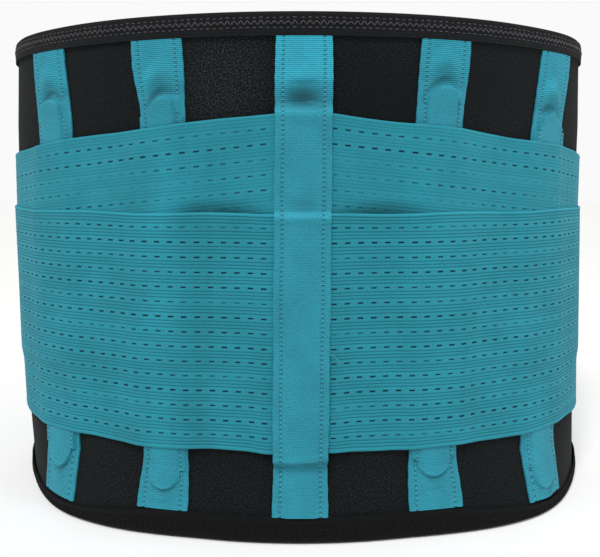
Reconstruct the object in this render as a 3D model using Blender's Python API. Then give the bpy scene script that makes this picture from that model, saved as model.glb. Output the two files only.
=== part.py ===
"""Lumbar support belt, closed into a standing ring round an empty waist.

Every piece is cut flat, as on a sewing table, and then wrapped round the waist ring. In a flat piece +X
runs along the belt from the centre back towards the wearer's right, -Y points outward from the shell's
outer face and +Z is up. A height above the shell's outer face is called t.
"""

import bisect
import math

import bmesh
import bpy

# Waist ring, measured on the shell's outer face
HEIGHT = 0.234
RING_HALF_WIDTH = 0.153
RING_HALF_DEPTH = 0.095
RING_Y_SHIFT = -0.0006

# How far the back and sides flare from that ring at four heights, and where the flare dies away
FLARE_Z = (0.0, 0.030, 0.190, HEIGHT)
FLARE = (0.0029, -0.0031, 0.0033, 0.0044)
FLARE_FULL_TO = 0.180
FLARE_GONE_AT = 0.222

# The straps hold the sides out from that ring, and the lower edge draws in under them
SIDE = (-0.0032, 0.0042, 0.0026, 0.0015)
SIDE_FROM = 0.110
SIDE_LENGTH = 0.050

# The lower edge swells out a little over the hips
HIP_SWELL = 0.0040
HIP_S = 0.108
HIP_REACH = 0.067

# Front closure: the left wing lies over the right one
OVERLAP_PAST_CENTRE = 0.035
LIFT = 0.0078
LIFT_FROM = 0.262
LIFT_LENGTH = 0.090

# Hinge lines
WING_HINGE = 0.222
PEEL_HINGE = 0.258
HINGE_T = 0.0048
GAP = 0.0003

# Layers, from the skin outward
LINING_T = (-0.0050, -0.0038)
SHELL_T = (-0.0035, 0.0)
STAY_T = (0.0003, 0.0013)
UPPER_ELASTIC_T = (0.0026, 0.0034)
LOWER_ELASTIC_T = (0.0037, 0.0045)
TAB_T = (0.0048, 0.0056)
HOOK_PAD_T = (0.0004, 0.0022)
HOOK_PANEL_T = (-0.0073, -0.0053)
SHELL_Z = (0.0012, HEIGHT - 0.0012)

# Fold-over binding
BINDING_LEG = 0.011
BINDING_THICK = 0.0009
BINDING_CLEAR = 0.0003
BINDING_CORNER = 0.0005

# Boning channels and stays
TAPE_WIDTH = 0.0244
TAPE_THICK = 0.0007
POCKET_WIDTH = 0.0164
CHANNEL_CUTS = (0.030, 0.175, 0.190, 0.206)
CHANNEL_Z = (0.0113, HEIGHT - 0.0113)
LEAN = 0.05
LEAN_FROM = 0.175
LEAN_LENGTH = 0.055
STAY_WIDTH = 0.015
STAY_LENGTH = 0.176
TIP_LENGTH = 0.0085

# Each channel's place along the belt, how far its lower and upper ends stray from it, and its stay's foot
CHANNELS = {
    "spine": (0.0, (-0.0001, 0.0020), 0.0155),
    "inner_left": (-0.063, (0.0, 0.0019), 0.0200),
    "inner_right": (0.063, (-0.0016, 0.0002), 0.0255),
    "outer_left": (-0.1225, (-0.0013, 0.0006), 0.0220),
    "outer_right": (0.1225, (-0.0025, 0.0075), 0.0150),
}

# Elastic straps
ELASTIC_WIDTH = 0.1068
LOWER_ELASTIC_Z = 0.0384
UPPER_TOP_Z = 0.190
UPPER_SLOPE = 0.10
STRAP_START = 0.0085
STRAP_END = 0.340

# Spine tape: height of its underside over the shell, by z
SPINE_Z = (0.0113, 0.0345, 0.0380, 0.1455, 0.1475, 0.1895, 0.1930, HEIGHT - 0.0113)
SPINE_T = (0.0016, 0.0016, 0.0048, 0.0048, 0.0037, 0.0037, 0.0016, 0.0016)

# Ends of the belt and of the straps
EDGE_BINDING_LEG = 0.011
HOOK_PANEL_LENGTH = 0.042
HOOK_PAD_S = (0.290, 0.339)
HOOK_PAD_Z = (0.052, 0.140)
TAB_S = (0.296, 0.346)
TAB_Z = (0.044, 0.150)
TAB_CORNER = 0.012

# Steps along the belt, fine where the ring bends most
COARSE_STEP = 0.008
FINE_STEP = 0.006
FINE_FROM = 0.128
FINE_TO = 0.268

TABLE_STEPS = 4000


def clear_scene():
    for obj in list(bpy.data.objects):
        bpy.data.objects.remove(obj, do_unlink=True)


def smooth(value):
    value = max(0.0, min(1.0, value))
    return value * value * (3 - 2 * value)


def between(x, xs, ys):
    """Straight-line interpolation that holds the end values."""
    if x <= xs[0]:
        return ys[0]
    for i in range(1, len(xs)):
        if x <= xs[i]:
            share = (x - xs[i - 1]) / (xs[i] - xs[i - 1])
            return ys[i - 1] + share * (ys[i] - ys[i - 1])
    return ys[-1]


def arc_table():
    """Angles and arc lengths from the centre back, to a little past the front centre."""
    angles = [i * 1.2 * math.pi / TABLE_STEPS for i in range(TABLE_STEPS + 1)]
    lengths = [0.0]
    for low, high in zip(angles, angles[1:]):
        middle = (low + high) / 2
        speed = math.hypot(RING_HALF_WIDTH * math.cos(middle), RING_HALF_DEPTH * math.sin(middle))
        lengths.append(lengths[-1] + speed * (high - low))
    return angles, lengths


ANGLES, LENGTHS = arc_table()
FRONT = between(math.pi, ANGLES, LENGTHS)
WING_END = FRONT + OVERLAP_PAST_CENTRE


def ring_angle(s):
    i = min(max(bisect.bisect_left(LENGTHS, abs(s)), 1), len(LENGTHS) - 1)
    share = (abs(s) - LENGTHS[i - 1]) / (LENGTHS[i] - LENGTHS[i - 1])
    angle = ANGLES[i - 1] + share * (ANGLES[i] - ANGLES[i - 1])
    return math.copysign(angle, s)


def wrap(s, t, z, lifted):
    """The place on the ring of a flat point."""
    angle = ring_angle(s)
    flare = between(z, FLARE_Z, FLARE)
    hip = max(0.0, 1 - ((abs(s) - HIP_S) / HIP_REACH) ** 2)
    flare += HIP_SWELL * hip * hip * max(0.0, 1 - z / FLARE_Z[2])
    flare += between(z, FLARE_Z, SIDE) * smooth((abs(s) - SIDE_FROM) / SIDE_LENGTH)
    flare *= 1 - smooth((abs(s) - FLARE_FULL_TO) / (FLARE_GONE_AT - FLARE_FULL_TO))
    out = t + flare
    if lifted:
        out += LIFT * smooth((abs(s) - LIFT_FROM) / LIFT_LENGTH)
    nx = RING_HALF_DEPTH * math.sin(angle)
    ny = -RING_HALF_WIDTH * math.cos(angle)
    scale = out / math.hypot(nx, ny)
    x = RING_HALF_WIDTH * math.sin(angle) + nx * scale
    y = -RING_HALF_DEPTH * math.cos(angle) + ny * scale + RING_Y_SHIFT
    return x, y, z


def stations():
    values = [0.0]
    while values[-1] < WING_END + COARSE_STEP:
        fine = FINE_FROM - 1e-6 < values[-1] < FINE_TO
        values.append(values[-1] + (FINE_STEP if fine else COARSE_STEP))
    return sorted([-v for v in values[1:]] + values)


STATIONS = stations()


def principled(name, colour, roughness, metallic=0.0):
    material = bpy.data.materials.new(name)
    material.use_nodes = True
    shader = next(n for n in material.node_tree.nodes if n.type == "BSDF_PRINCIPLED")
    shader.inputs["Base Color"].default_value = (*colour, 1.0)
    shader.inputs["Roughness"].default_value = roughness
    shader.inputs["Metallic"].default_value = metallic
    material.diffuse_color = (*colour, 1.0)
    return material


def prism(corners, axis, low, high):
    """A closed prism: corners lie in the plane across axis, and it runs from low to high along it."""
    bm = bmesh.new()
    first = []
    for a, b in corners:
        place = {"s": (low, -a, b), "t": (a, -low, b), "z": (a, -b, low)}[axis]
        first.append(bm.verts.new(place))
    face = bm.faces.new(first)
    made = bmesh.ops.extrude_face_region(bm, geom=[face])
    moved = [v for v in made["geom"] if isinstance(v, bmesh.types.BMVert)]
    step = {"s": (high - low, 0, 0), "t": (0, low - high, 0), "z": (0, 0, high - low)}[axis]
    bmesh.ops.translate(bm, verts=moved, vec=step)
    bmesh.ops.recalc_face_normals(bm, faces=bm.faces[:])
    return bm


def outward(bm):
    """Turns every face outward."""
    bmesh.ops.recalc_face_normals(bm, faces=bm.faces[:])
    if bm.calc_volume(signed=True) < 0:
        bmesh.ops.reverse_faces(bm, faces=bm.faces[:])


def cut(bm, place, direction):
    bmesh.ops.bisect_plane(
        bm,
        geom=bm.verts[:] + bm.edges[:] + bm.faces[:],
        dist=1e-6,
        plane_co=place,
        plane_no=direction,
    )


def cut_levels(bm, levels):
    for z in levels:
        cut(bm, (0, 0, z), (0, 0, 1))


def cut_stations(bm):
    low = min(v.co.x for v in bm.verts)
    high = max(v.co.x for v in bm.verts)
    for s in STATIONS:
        if low + 0.0008 < s < high - 0.0008:
            cut(bm, (s, 0, 0), (1, 0, 0))


def lean(bm, place):
    """Moves a channel or stay from the centre back to its place: channels spread towards the top."""
    centre, drift, _ = CHANNELS[place]
    for v in bm.verts:
        spread = LEAN * smooth((v.co.z - LEAN_FROM) / LEAN_LENGTH)
        v.co.x += centre * (1 + spread) + drift[0] + (drift[1] - drift[0]) * v.co.z / HEIGHT


class Belt:
    """Holds the axes and the materials, and adds each finished piece to the scene."""

    def __init__(self):
        self.axes = {}
        self.places = {}
        for name, s in (
            ("left_wing", -WING_HINGE),
            ("right_wing", WING_HINGE),
            ("left_strap", -PEEL_HINGE),
            ("right_strap", PEEL_HINGE),
        ):
            empty = bpy.data.objects.new(name + "_axis", None)
            empty.empty_display_size = 0.02
            bpy.context.scene.collection.objects.link(empty)
            empty.location = wrap(s, HINGE_T, HEIGHT / 2, False)
            self.axes[name] = empty
            self.places[name] = tuple(empty.location)
        for child, parent in (("left_strap", "left_wing"), ("right_strap", "right_wing")):
            self.axes[child].parent = self.axes[parent]
            offset = [c - p for c, p in zip(self.places[child], self.places[parent])]
            self.axes[child].location = offset
        self.places["back"] = (0.0, 0.0, 0.0)

    def add(self, name, bm, body, material):
        cut_stations(bm)
        lifted = body in ("left_wing", "left_strap")
        origin = self.places[body]
        for v in bm.verts:
            point = wrap(v.co.x, -v.co.y, v.co.z, lifted)
            v.co = [p - o for p, o in zip(point, origin)]
        outward(bm)
        mesh = bpy.data.meshes.new(name)
        bm.to_mesh(mesh)
        bm.free()
        for polygon in mesh.polygons:
            polygon.use_smooth = True
        mesh.set_sharp_from_angle(angle=math.radians(30))
        mesh.materials.append(material)
        obj = bpy.data.objects.new(name, mesh)
        bpy.context.scene.collection.objects.link(obj)
        if body in self.axes:
            obj.parent = self.axes[body]
        return obj


def span(side, low, high):
    """A stretch of the belt on one side, as a low and a high flat coordinate."""
    return (low, high) if side > 0 else (-high, -low)


def panel(belt, name, along, z, t, body, material):
    """A full-height flat panel."""
    corners = [(along[0], z[0]), (along[1], z[0]), (along[1], z[1]), (along[0], z[1])]
    bm = prism(corners, "t", t[0], t[1])
    cut_levels(bm, (BINDING_LEG, *FLARE_Z[1:3], HEIGHT - BINDING_LEG))
    belt.add(name, bm, body, material)


def rim_binding(belt, name, along, top, body, material):
    """A folded tape over the top or the bottom edge: two legs joined by a crown."""
    inner = (LINING_T[0] - BINDING_CLEAR, SHELL_T[1] + BINDING_CLEAR)
    outer = (inner[0] - BINDING_THICK, inner[1] + BINDING_THICK)
    corner = BINDING_CORNER
    profile = [
        (outer[0] + corner, 0),
        (outer[1] - corner, 0),
        (outer[1], corner),
        (outer[1], BINDING_LEG),
        (inner[1], BINDING_LEG),
        (inner[1], BINDING_THICK),
        (inner[0], BINDING_THICK),
        (inner[0], BINDING_LEG),
        (outer[0], BINDING_LEG),
        (outer[0], corner),
    ]
    if top:
        profile = [(t, HEIGHT - z) for t, z in profile]
    bm = prism(profile, "s", along[0], along[1])
    belt.add(name, bm, body, material)


def edge_binding(belt, name, side, body, material):
    """The same folded tape round the end of a wing."""
    inner = (LINING_T[0] - BINDING_CLEAR, SHELL_T[1] + BINDING_CLEAR)
    outer = (inner[0] - BINDING_THICK, inner[1] + BINDING_THICK)
    corner = BINDING_CORNER
    start = WING_END - EDGE_BINDING_LEG
    profile = [
        (start, outer[1]),
        (WING_END - corner, outer[1]),
        (WING_END, outer[1] - corner),
        (WING_END, outer[0] + corner),
        (WING_END - corner, outer[0]),
        (start, outer[0]),
        (start, inner[0]),
        (WING_END - BINDING_THICK, inner[0]),
        (WING_END - BINDING_THICK, inner[1]),
        (start, inner[1]),
    ]
    bm = prism([(side * s, t) for s, t in profile], "z", CHANNEL_Z[0], CHANNEL_Z[1])
    cut_levels(bm, FLARE_Z[1:3])
    belt.add(name, bm, body, material)


def channel(belt, name, place, material):
    """A boning channel: a tape stitched down along both edges and raised over its stay."""
    half = TAPE_WIDTH / 2
    pocket = POCKET_WIDTH / 2
    low = STAY_T[0]
    high = STAY_T[1] + GAP
    profile = [
        (-half, low),
        (-pocket - TAPE_THICK, low),
        (-pocket, high),
        (pocket, high),
        (pocket + TAPE_THICK, low),
        (half, low),
        (half, low + TAPE_THICK),
        (pocket + TAPE_THICK, low + TAPE_THICK),
        (pocket, high + TAPE_THICK),
        (-pocket, high + TAPE_THICK),
        (-pocket - TAPE_THICK, low + TAPE_THICK),
        (-half, low + TAPE_THICK),
    ]
    bm = prism(profile, "z", CHANNEL_Z[0], CHANNEL_Z[1])
    cut_levels(bm, CHANNEL_CUTS)
    lean(bm, place)
    belt.add(name, bm, "back", material)


def spine_tape(belt, name, material):
    """The centre tape, which lies over the straps and steps down to the shell above and below them."""
    bm = bmesh.new()
    half = TAPE_WIDTH / 2
    levels = sorted(SPINE_Z + tuple(FLARE_Z[1:3]))
    rings = []
    for z in levels:
        low = between(z, SPINE_Z, SPINE_T)
        high = low + TAPE_THICK
        corners = [(-half, low), (half, low), (half, high), (-half, high)]
        rings.append([bm.verts.new((s, -t, z)) for s, t in corners])
    for lower, upper in zip(rings, rings[1:]):
        for i in range(4):
            j = (i + 1) % 4
            bm.faces.new((lower[i], lower[j], upper[j], upper[i]))
    bm.faces.new(rings[0])
    bm.faces.new(rings[-1])
    bmesh.ops.recalc_face_normals(bm, faces=bm.faces[:])
    lean(bm, "spine")
    belt.add(name, bm, "back", material)


def tip_outline(inner_z, outer_z, steps=8):
    """A stay's end cap: square where it meets the stay and round at its free end."""
    half = STAY_WIDTH / 2
    depth = outer_z - inner_z
    points = [(-half, inner_z), (half, inner_z)]
    for i in range(1, steps):
        angle = math.pi * i / steps
        shoulder = depth * 0.12
        bulge = depth - shoulder
        points.append((half * math.cos(angle), inner_z + shoulder + bulge * math.sin(angle)))
    return points


def stay(belt, name, place, steel, coating):
    """A flat spring stay with a coated tip at either end."""
    half = STAY_WIDTH / 2
    foot = CHANNELS[place][2]
    low = foot + TIP_LENGTH
    high = foot + STAY_LENGTH - TIP_LENGTH
    corners = [(-half, low + GAP), (half, low + GAP), (half, high - GAP), (-half, high - GAP)]
    bm = prism(corners, "t", STAY_T[0], STAY_T[1])
    cut_levels(bm, CHANNEL_CUTS)
    lean(bm, place)
    belt.add(name, bm, "back", steel)
    for end, inner_z, outer_z in (("top", high, high + TIP_LENGTH), ("bottom", low, foot)):
        bm = prism(tip_outline(inner_z, outer_z), "t", STAY_T[0], STAY_T[1])
        cut_levels(bm, CHANNEL_CUTS)
        lean(bm, place)
        belt.add(name + "_" + end + "_tip", bm, "back", coating)


def lower_elastic(belt, name, side, low, high, body, material):
    along = span(side, low, high)
    z = (LOWER_ELASTIC_Z, LOWER_ELASTIC_Z + ELASTIC_WIDTH)
    corners = [(along[0], z[0]), (along[1], z[0]), (along[1], z[1]), (along[0], z[1])]
    bm = prism(corners, "t", LOWER_ELASTIC_T[0], LOWER_ELASTIC_T[1])
    belt.add(name, bm, body, material)


def upper_elastic(belt, name, side, low, high, body, material):
    """The upper strap: its edges fall towards the front."""
    corners = []
    for s, drop in ((low, ELASTIC_WIDTH), (high, ELASTIC_WIDTH), (high, 0), (low, 0)):
        corners.append((side * s, UPPER_TOP_Z - UPPER_SLOPE * s - drop))
    bm = prism(corners, "t", UPPER_ELASTIC_T[0], UPPER_ELASTIC_T[1])
    belt.add(name, bm, body, material)


def rounded_outline(along, z, radius, steps=5):
    points = []
    for quarter, (s, level) in enumerate(
        ((along[1], z[1]), (along[0], z[1]), (along[0], z[0]), (along[1], z[0]))
    ):
        centre_s = s - math.copysign(radius, s - sum(along) / 2)
        centre_z = level - math.copysign(radius, level - sum(z) / 2)
        for i in range(steps + 1):
            angle = math.pi / 2 * (quarter + i / steps)
            points.append((centre_s + radius * math.cos(angle), centre_z + radius * math.sin(angle)))
    return points


def build():
    clear_scene()
    belt = Belt()
    foam = principled("neoprene_shell", (0.012, 0.013, 0.014), 0.85)
    knit = principled("brushed_lining", (0.016, 0.016, 0.018), 0.95)
    trim = principled("binding_tape", (0.014, 0.013, 0.014), 0.75)
    tape = principled("grosgrain_tape", (0.045, 0.36, 0.46), 0.70)
    elastic = principled("woven_elastic", (0.030, 0.29, 0.38), 0.75)
    steel = principled("spring_steel", (0.55, 0.56, 0.57), 0.30, 1.0)
    coating = principled("tip_coating", (0.80, 0.80, 0.78), 0.45)
    hook = principled("hook_tape", (0.020, 0.020, 0.021), 0.80)
    patch = principled("tab_patch", (0.018, 0.018, 0.020), 0.70)

    near = WING_HINGE - GAP
    far = WING_HINGE + GAP
    back = (-near, near)
    panel(belt, "back_shell", back, SHELL_Z, SHELL_T, "back", foam)
    panel(belt, "back_lining", back, SHELL_Z, LINING_T, "back", knit)
    rim_binding(belt, "top_binding_back", back, True, "back", trim)
    rim_binding(belt, "bottom_binding_back", back, False, "back", trim)
    spine_tape(belt, "spine_channel", tape)
    stay(belt, "spine_stay", "spine", steel, coating)
    for side, word in ((-1, "left"), (1, "right")):
        for row in ("inner", "outer"):
            place = row + "_" + word
            channel(belt, row + "_channel_" + word, place, tape)
            stay(belt, row + "_stay_" + word, place, steel, coating)
        upper_elastic(belt, "upper_elastic_back_" + word, side, STRAP_START, near, "back", elastic)
        lower_elastic(belt, "lower_elastic_back_" + word, side, STRAP_START, near, "back", elastic)

        wing = word + "_wing"
        along = span(side, far, WING_END - BINDING_THICK - GAP)
        panel(belt, wing + "_shell", along, SHELL_Z, SHELL_T, wing, foam)
        panel(belt, wing + "_lining", along, SHELL_Z, LINING_T, wing, knit)
        along = span(side, far, WING_END)
        rim_binding(belt, "top_binding_" + word, along, True, wing, trim)
        rim_binding(belt, "bottom_binding_" + word, along, False, wing, trim)
        edge_binding(belt, "edge_binding_" + word, side, wing, trim)
        middle = PEEL_HINGE - GAP
        upper_elastic(belt, "upper_elastic_side_" + word, side, far, middle, wing, elastic)
        lower_elastic(belt, "lower_elastic_side_" + word, side, far, middle, wing, elastic)

        strap = word + "_strap"
        middle = PEEL_HINGE + GAP
        upper_elastic(belt, "upper_elastic_end_" + word, side, middle, STRAP_END, strap, elastic)
        lower_elastic(belt, "lower_elastic_end_" + word, side, middle, STRAP_END, strap, elastic)
        along = span(side, HOOK_PAD_S[0], HOOK_PAD_S[1])
        bm = prism(rounded_outline(along, HOOK_PAD_Z, 0.006), "t", HOOK_PAD_T[0], HOOK_PAD_T[1])
        belt.add("strap_hook_pad_" + word, bm, strap, hook)
        along = span(side, TAB_S[0], TAB_S[1])
        bm = prism(rounded_outline(along, TAB_Z, TAB_CORNER), "t", TAB_T[0], TAB_T[1])
        belt.add("strap_tab_" + word, bm, strap, patch)

    end = WING_END - EDGE_BINDING_LEG - 0.002
    along = span(-1, end - HOOK_PANEL_LENGTH, end)
    corners = rounded_outline(along, (0.016, HEIGHT - 0.016), 0.004)
    bm = prism(corners, "t", HOOK_PANEL_T[0], HOOK_PANEL_T[1])
    cut_levels(bm, FLARE_Z[1:3])
    belt.add("closure_hook_panel", bm, "left_wing", hook)


build()
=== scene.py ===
"""Lumbar support belt: its cloth, webbing, stitching and finishes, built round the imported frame.

Each soft piece is drawn flat, as on a cutting table, and wrapped round the waist ring. In a flat piece x
runs along the belt from the centre back towards the wearer's right, z is up, and t is the height above
the shell's outer face.
"""

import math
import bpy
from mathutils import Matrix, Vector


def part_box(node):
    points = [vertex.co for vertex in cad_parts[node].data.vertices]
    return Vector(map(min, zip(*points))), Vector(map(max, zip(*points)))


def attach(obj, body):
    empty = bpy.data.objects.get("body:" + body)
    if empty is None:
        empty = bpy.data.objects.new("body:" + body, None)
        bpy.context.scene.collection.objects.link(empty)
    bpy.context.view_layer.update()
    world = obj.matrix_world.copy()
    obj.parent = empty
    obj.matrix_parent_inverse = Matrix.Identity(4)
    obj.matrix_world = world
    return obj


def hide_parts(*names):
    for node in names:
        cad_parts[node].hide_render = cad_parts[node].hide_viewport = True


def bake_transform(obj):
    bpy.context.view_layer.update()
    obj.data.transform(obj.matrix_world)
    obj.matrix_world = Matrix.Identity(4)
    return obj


bl_info = {
    "name": "Lumbar Support Belt",
    "version": (1, 0, 0),
    "blender": (4, 5, 0),
    "location": "View3D > Sidebar > Belt",
    "description": "Builds a boned lumbar support belt with crossed elastic straps",
    "category": "Object",
}

import bmesh
import bpy
import numpy as np
from bpy.props import FloatProperty, FloatVectorProperty, PointerProperty
from bpy.types import Operator, Panel, PropertyGroup
from mathutils import Matrix, Vector

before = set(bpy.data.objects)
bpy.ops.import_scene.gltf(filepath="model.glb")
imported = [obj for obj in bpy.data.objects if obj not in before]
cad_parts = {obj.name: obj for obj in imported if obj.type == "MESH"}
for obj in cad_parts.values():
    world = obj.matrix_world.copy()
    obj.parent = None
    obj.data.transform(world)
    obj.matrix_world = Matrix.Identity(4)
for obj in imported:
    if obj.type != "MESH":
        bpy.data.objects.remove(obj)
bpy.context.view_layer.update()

MM = 0.001
TINY = 1e-6
RING_STEPS = 8001
SIDES = ((-1, "left"), (1, "right"))


def heights(name):
    """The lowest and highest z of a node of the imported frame."""
    low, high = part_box(name)
    return low.z, high.z


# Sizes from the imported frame
FLOOR_Z = heights("bottom_binding_back")[0]
TOP_Z = heights("top_binding_back")[1]
LOWER_STRAP_Z = heights("lower_elastic_back_left")[0]
LOWER_TOP_Z = heights("lower_elastic_back_left")[1]
STRAP_WIDTH = LOWER_TOP_Z - LOWER_STRAP_Z
TAPE_Z = heights("spine_channel")
TAB_Z = heights("strap_tab_left")
PAD_Z = heights("strap_hook_pad_left")
PANEL_Z = heights("closure_hook_panel")
STAY_LENGTH = heights("spine_stay_top_tip")[1] - heights("spine_stay_bottom_tip")[0]
STAY_HALF = (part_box("spine_stay")[1].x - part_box("spine_stay")[0].x) / 2

# Flare of the back and of the sides at four heights, and the swell over the hips, as in the solid model
FLARE_Z = (0.0, 30 * MM, 190 * MM, TOP_Z)
FLARE = (2.9 * MM, -3.1 * MM, 3.3 * MM, 4.4 * MM)
FLARE_FULL_TO = 180 * MM
FLARE_GONE_AT = 222 * MM
SIDE = (-3.2 * MM, 4.2 * MM, 2.6 * MM, 1.5 * MM)
SIDE_FROM = 110 * MM
SIDE_LENGTH = 50 * MM
HIP_SWELL = 4.0 * MM
HIP_S = 108 * MM
HIP_REACH = 67 * MM

# Sway of the standing cloth at four heights, and the share of it that the side tapes make up for
SWAY_Z = (0.0, 36 * MM, 146 * MM, TOP_Z)
SWAY = (2.3 * MM, 0.8 * MM, -1.4 * MM, -0.8 * MM)
SWAY_SHARE = 0.8
SLACK_FROM = 50 * MM
SLACK_TO = 180 * MM

# The front closure: how far the wings lap, and how the left one lifts over the right
OVERLAP = 35 * MM
LIFT = 7.8 * MM
LIFT_FROM = 262 * MM
LIFT_LENGTH = 90 * MM

# Hinge lines, and where the straps are cut in two
WING_HINGE = 222 * MM
PEEL_HINGE = 258 * MM
STRAP_SPLIT = 240 * MM

# Layers: each T is a height above the shell's face
SHELL_THICK = 3.2 * MM
SHELL_STEP = 3 * MM
EDGE_INSET = 1.2 * MM
LINING_T = -3.8 * MM
LINING_THICK = 1.1 * MM
STRAP_THICK = 0.7 * MM
STRAP_START = 8.5 * MM
STRAP_END = 340 * MM
TAB_S = (296 * MM, 346 * MM)
PAD_S = (290 * MM, 339 * MM)
TAB_T = 5.55 * MM
PAD_T = 2.15 * MM
PANEL_T = -5.35 * MM
HOOK_PROUD = 0.9 * MM
PANEL_WIDTH = 42 * MM
PANEL_INSET = 13 * MM
UPPER_TOP_Z = 190 * MM
UPPER_SLOPE = 0.10
TOP_SLOT_ROW = 6.4 * MM
CHANNEL_S = (63 * MM, 122.5 * MM)
VALLEY_S = 36 * MM

# Boning: half the sleeve between a tape's seams, the room above a stay, and the tape's least cover of it
SLEEVE_HALF = 7.6 * MM
STAY_ROOM = 0.6 * MM
STAY_COVER = 1.8 * MM

# Binding: a tape folded over a round crown, whose lower edge is narrower at the belt's sides
BINDING_T = (-6.2 * MM, 1.2 * MM)
BINDING_MIDDLE = sum(BINDING_T) / 2
BINDING_HALF = (BINDING_T[1] - BINDING_T[0]) / 2
CROWN = 2.6 * MM
LEG = 8.4 * MM
FOLD_ARC = math.pi * (BINDING_HALF + CROWN) / 2
BINDING_WIDTH = 2 * LEG + FOLD_ARC
SEAM_SHARES = (0.125, 0.285)
COVER_STITCH = 2.9 * MM
NARROWED = 0.6
NARROW_S = 130 * MM
NARROW_REACH = 70 * MM
FOOT_DROP = 4.6 * MM
FOOT_LENGTH = 16 * MM

RGBA = {"data_type": "RGBA"}
FLAT_NOISE = {"noise_dimensions": "2D"}


def linear(code):
    """A hex sRGB colour as linear red, green and blue."""
    parts = [int(code[i : i + 2], 16) / 255 for i in (1, 3, 5)]
    return [p / 12.92 if p <= 0.04045 else ((p + 0.055) / 1.055) ** 2.4 for p in parts]


def length(name, description, default):
    return FloatProperty(name=name, description=description, default=default, unit="LENGTH")


def colour(name, description, code):
    return FloatVectorProperty(
        name=name, description=description, subtype="COLOR", size=3, default=linear(code)
    )


class BeltSizes(PropertyGroup):
    """Sizes that set how the belt is cut and sewn."""

    ring_half_width: length("Ring Half Width", "Half the closed ring's width", 153 * MM)
    ring_half_depth: length("Ring Half Depth", "Half the closed ring's depth", 95 * MM)
    ring_shift: length("Ring Shift", "Ring centre along Y", -0.6 * MM)
    weave_repeat: length("Weave Repeat", "Spacing of the rows of slots", 6.68 * MM)
    rib_height: length("Rib Height", "Rib height of the elastic", 0.32 * MM)
    slot_pitch: length("Slot Pitch", "Spacing of the slots along a row", 5.95 * MM)
    slot_length: length("Slot Length", "Length of one slot", 2.7 * MM)
    slot_depth: length("Slot Depth", "Depth of one slot", 0.45 * MM)
    tape_width: length("Tape Width", "Width of the boning tape", 24.4 * MM)
    tape_rib_pitch: length("Tape Rib Pitch", "Rib spacing of the tape", 0.88 * MM)
    tape_rib_height: length("Tape Rib Height", "Rib height of the tape", 0.32 * MM)
    stitch_length: length("Stitch Length", "Length of one lock stitch", 2.05 * MM)
    thread_width: length("Thread Width", "Thickness of the sewing thread", 0.46 * MM)


class BeltColours(PropertyGroup):
    """Colours of the cloth, tape and thread."""

    elastic: colour("Elastic", "Webbing yarn", "#217c8b")
    # Painted shade: the groove colour darkens the elastic between its ribs
    elastic_groove_shade: colour("Elastic Groove", "Between ribs", "#0d5866")
    slot: colour("Slot", "Inside the slots", "#021d2e")
    tape: colour("Tape", "Grosgrain tape", "#2b899b")
    # Painted shade: the groove colour darkens the tape between its ribs
    tape_groove_shade: colour("Tape Groove", "Between its ribs", "#0d5767")
    thread: colour("Thread", "Teal sewing thread", "#4aa2b3")
    shell: colour("Shell", "Shell face", "#0e1112")
    shell_loop: colour("Shell Loops", "Lit loop ends", "#3f4548")
    lining: colour("Lining", "Brushed knit", "#1b1c1f")
    binding: colour("Binding", "Folded binding", "#0f0f10")
    black_thread: colour("Black Thread", "Cover stitch", "#3a3a3d")
    # Painted shade: a darker copy of the black thread for the lower stitches
    shaded_thread: colour("Dull Thread", "Lower stitches", "#101011")
    hook: colour("Hook Tape", "Hook tape", "#141416")
    floor: colour("Floor", "Studio floor", "#f5f5f4")

# Helpers for cloth


def smooth(value):
    value = np.clip(value, 0.0, 1.0)
    return value * value * (3 - 2 * value)


def hump(value):
    """1 at 0, falling softly to 0 at -1 and 1."""
    return np.clip(1 - value * value, 0.0, 1.0) ** 2


def wander(a, b, seed):
    """A slow, repeatable unevenness between about -1 and 1."""
    total = np.zeros_like(a)
    for k in range(1, 5):
        phase = seed * 1.7 + k * 2.3
        total = total + np.sin(a * (31 + 23 * k) + b * (17 * k) + phase) / k
        total = total + np.sin(b * (41 + 19 * k) - a * (11 * k) + 1.3 * phase) / k
    return total / 3.2


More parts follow.
